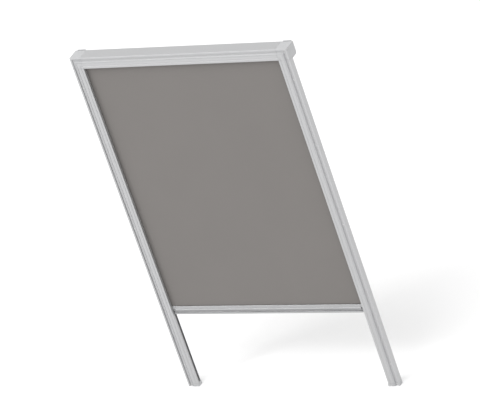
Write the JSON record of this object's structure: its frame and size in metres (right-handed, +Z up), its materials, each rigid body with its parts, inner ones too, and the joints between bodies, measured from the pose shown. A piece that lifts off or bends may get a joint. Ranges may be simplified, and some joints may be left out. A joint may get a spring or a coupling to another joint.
{
  "type": "roof window roller blind",
  "caption": "Blackout roller blind in two side channels: sprung roller in a slim head, grey fabric, and a pull bar on crossed guide cords.",
  "frame": {"origin": "middle of the blind's width and depth, at the lower end of the side channels", "axes": "+X along the bar and roller, +Y into the window, away from the room, +Z up the channels towards the head"},
  "size_m": [0.633, 0.0442, 1.021],
  "materials": {
    "aluminium": "satin natural anodised",
    "grey_plastic": "fine matt, light grey",
    "dark_plastic": "matt dark grey",
    "acetal": "smooth off-white",
    "steel": "zinc plated",
    "spring_steel": "drawn, lightly oiled",
    "blackout_fabric": "matt coated weave",
    "pile": "short pile",
    "cord": "fine braid"
  },
  "bodies": {
    "housing": {"side_channel_left": "aluminium", "side_channel_right": "aluminium", "head_casing": "aluminium", "channel_foot_left": "grey_plastic", "channel_foot_right": "grey_plastic", "end_cap_left": "grey_plastic", "end_cap_right": "grey_plastic", "spring_collar": "acetal", "mounting_bracket_left": "steel", "mounting_bracket_right": "steel", "spring_rod": "steel", "idler_pin": "steel", "torsion_spring": "spring_steel", "blackout_fabric": "blackout_fabric", "channel_seal_left": "pile", "channel_seal_right": "pile", "head_light_seal": "pile", "upper_cord_left": "cord", "upper_cord_right": "cord", "lower_cord_left": "cord", "lower_cord_right": "cord", "channel_screw_1_left": "steel", "channel_screw_1_right": "steel", "channel_screw_2_left": "steel", "channel_screw_2_right": "steel", "channel_screw_3_left": "steel", "channel_screw_3_right": "steel", "foot_screw_left": "steel", "foot_screw_right": "steel", "cap_screw_front_left": "steel", "cap_screw_front_right": "steel", "cap_screw_rear_left": "steel", "cap_screw_rear_right": "steel", "top_ferrule_left": "steel", "top_ferrule_right": "steel", "foot_ferrule_left": "steel", "foot_ferrule_right": "steel"},
    "roller": {"roller_tube": "aluminium", "fabric_key_spline": "dark_plastic", "fabric_roll": "blackout_fabric", "idler_plug": "acetal", "drive_plug": "acetal"},
    "bar": {"bottom_bar": "aluminium", "bar_end_left": "grey_plastic", "bar_end_right": "grey_plastic", "hem_spline": "dark_plastic", "bar_seal": "pile", "cross_cord_front": "cord", "cross_cord_rear": "cord"}
  },
  "joints": [
    {"name": "bar_slide", "type": "slide", "parent": "housing", "child": "bar", "axis": [0, 0, 1], "range_m": [-0.217, 0.73], "deforming": ["blackout_fabric", "upper_cord_left", "upper_cord_right", "lower_cord_left", "lower_cord_right"]},
    {"name": "roller_spin", "type": "hinge", "parent": "housing", "child": "roller", "pos_m": [0, 0.00238, 1.00308], "axis": [1, 0, 0], "range_deg": [-3400, 1020]}
  ],
  "couplings": [
    {"joint": "roller_spin", "follows": "bar_slide", "rad_per_m": -81}
  ]
}
